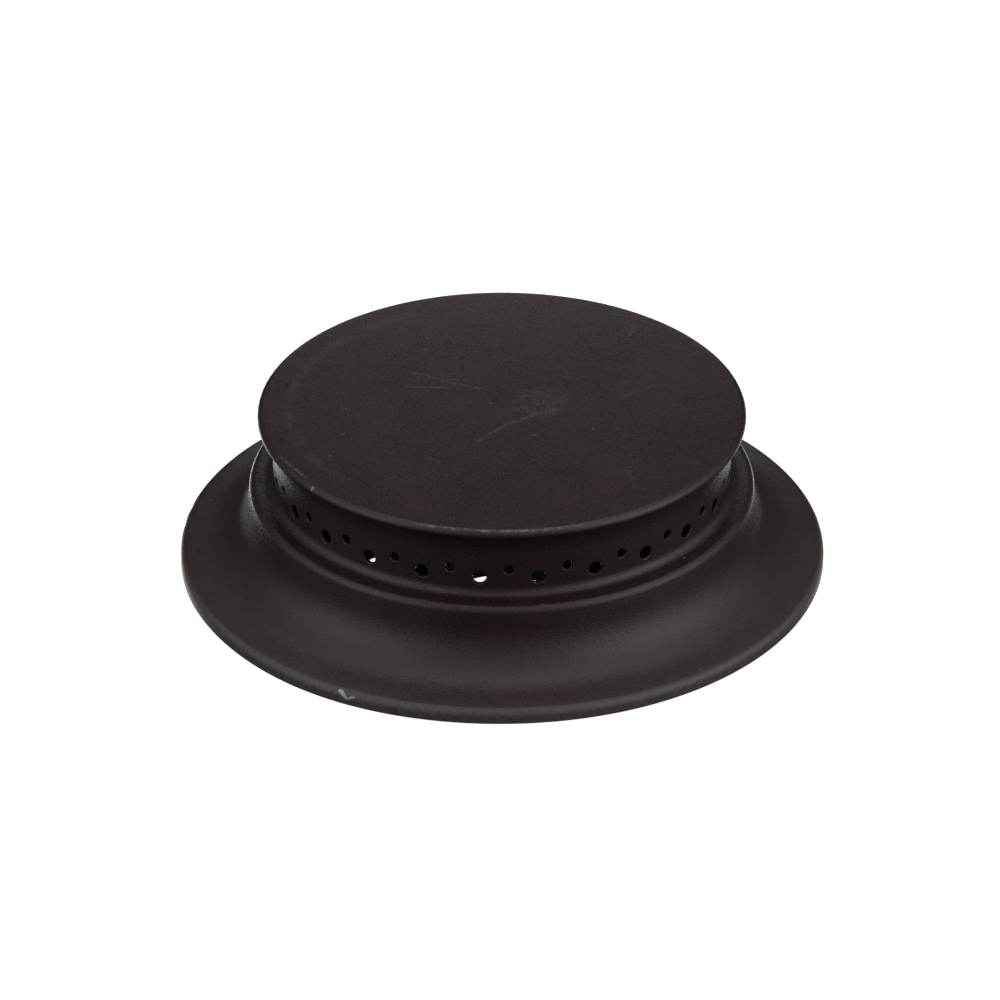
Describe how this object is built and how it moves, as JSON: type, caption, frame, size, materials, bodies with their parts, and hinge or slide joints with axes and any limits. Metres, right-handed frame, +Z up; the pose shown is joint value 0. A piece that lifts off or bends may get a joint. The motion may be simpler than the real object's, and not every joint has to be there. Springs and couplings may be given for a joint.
{
  "type": "sealed surface burner",
  "caption": "Hat-shaped black enamelled steel gas burner for a cooktop: flat cap over a ported collar, wide seating flange, closed floor with a central gas throat.",
  "frame": {"origin": "on the burner's axis, in the cooktop plane that the flange's lip stands on, level with the top of the pan's floor", "axes": "+Z up along the burner's axis, -Y towards the side seen in the picture"},
  "size_m": [0.127, 0.127, 0.0459],
  "materials": {
    "head_enamel": "matte black enamel, fine grain",
    "cap_enamel": "matte black enamel, lightly scuffed",
    "pan_enamel": "matte black enamel"
  },
  "bodies": {
    "root": {"burner_head": "head_enamel", "top_cap": "cap_enamel", "mixing_pan": "pan_enamel"}
  },
  "joints": []
}
